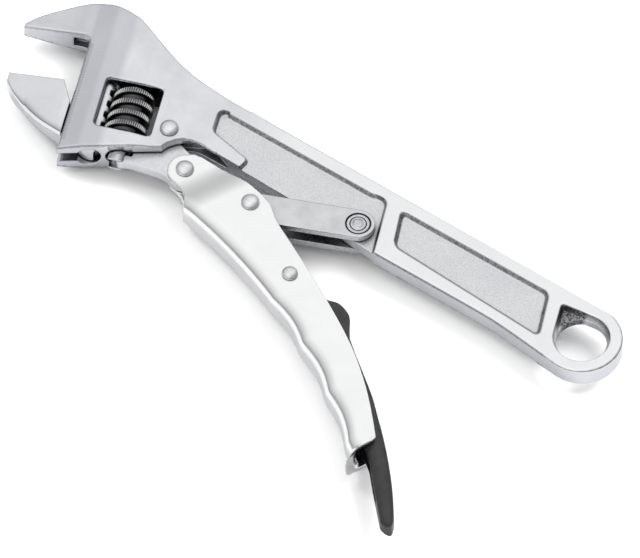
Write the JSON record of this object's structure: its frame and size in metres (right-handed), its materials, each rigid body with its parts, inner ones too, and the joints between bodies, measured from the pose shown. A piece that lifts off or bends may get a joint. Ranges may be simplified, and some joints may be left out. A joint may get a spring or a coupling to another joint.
{
  "type": "locking adjustable wrench",
  "caption": "Adjustable wrench with a worm-driven sliding jaw that a toggle lever under the handle clamps on the nut.",
  "frame": {"origin": "middle of the fixed jaw face, in the middle plane of the tool", "axes": "+X along the handle towards its hanging hole, +Z out of the flat side of the tool, +Y from the lever's side towards the back of the handle"},
  "size_m": [0.2556, 0.132, 0.019],
  "materials": {
    "body_chrome": "satin chrome, brighter on the head",
    "jaw_chrome": "polished chrome",
    "worm_steel": "dark bright steel with knurled crests",
    "pin_steel": "turned steel",
    "spring_steel": "drawn spring wire",
    "rocker_steel": "satin plated plate",
    "rivet_steel": "bright plated",
    "link_steel": "satin plated plate",
    "lever_satin": "pale satin plating",
    "release_black": "black, half gloss"
  },
  "bodies": {
    "frame": {"wrench_body": "body_chrome", "rocker_rivet": "rivet_steel", "anchor_pin": "pin_steel", "front_anchor_washer": "pin_steel", "back_anchor_washer": "pin_steel"},
    "rocker": {"rocker": "rocker_steel", "lever_rivet": "rivet_steel"},
    "lever": {"lever_handle": "lever_satin", "link_rivet": "rivet_steel", "link_spacer": "rivet_steel", "release_rivet": "rivet_steel", "release_spring": "spring_steel"},
    "links": {"front_link": "link_steel", "back_link": "link_steel"},
    "axle": {"worm_axle": "pin_steel", "axle_spring": "spring_steel"},
    "jaw": {"movable_jaw": "jaw_chrome"},
    "worm": {"worm_screw": "worm_steel"},
    "release": {"release_lever": "release_black"}
  },
  "joints": [
    {"name": "lever_squeeze", "type": "hinge", "parent": "rocker", "child": "lever", "pos_m": [0.07309, -0.02321, 0], "axis": [0, 0, 1], "range_deg": [0, 21], "stiffness_Nm_per_rad": 0.3, "springref_deg": -5.73},
    {"name": "rocker_tilt", "type": "hinge", "parent": "frame", "child": "rocker", "pos_m": [0.05909, -0.01271, 0], "axis": [0, 0, 1], "range_deg": [-7.1, 0]},
    {"name": "link_swing", "type": "hinge", "parent": "frame", "child": "links", "pos_m": [0.13769, -0.00861, 0], "axis": [0, 0, 1], "range_deg": [-8.4, 0]},
    {"name": "axle_clamp", "type": "slide", "parent": "frame", "child": "axle", "axis": [-0.3502, 0.9367, 0], "range_m": [0, 0.0019]},
    {"name": "jaw_adjust", "type": "slide", "parent": "axle", "child": "jaw", "axis": [0.3502, -0.9367, 0], "range_m": [-0.0184, 0.0095]},
    {"name": "worm_spin", "type": "hinge", "parent": "axle", "child": "worm", "pos_m": [0.04259, -0.01397, 0], "axis": [-0.3502, 0.9367, 0], "range_deg": [-1420, 740]},
    {"name": "release_trigger", "type": "hinge", "parent": "lever", "child": "release", "pos_m": [0.13097, -0.04165, 0], "axis": [0, 0, -1], "range_deg": [0, 1.6], "stiffness_Nm_per_rad": 0.3, "springref_deg": -11.46}
  ],
  "couplings": [
    {"joint": "rocker_tilt", "follows": "lever_squeeze", "ratio": -0.338},
    {"joint": "link_swing", "follows": "lever_squeeze", "ratio": -0.4},
    {"joint": "axle_clamp", "follows": "lever_squeeze", "m_per_rad": 0.00504},
    {"joint": "worm_spin", "follows": "jaw_adjust", "rad_per_m": 1317.2}
  ]
}
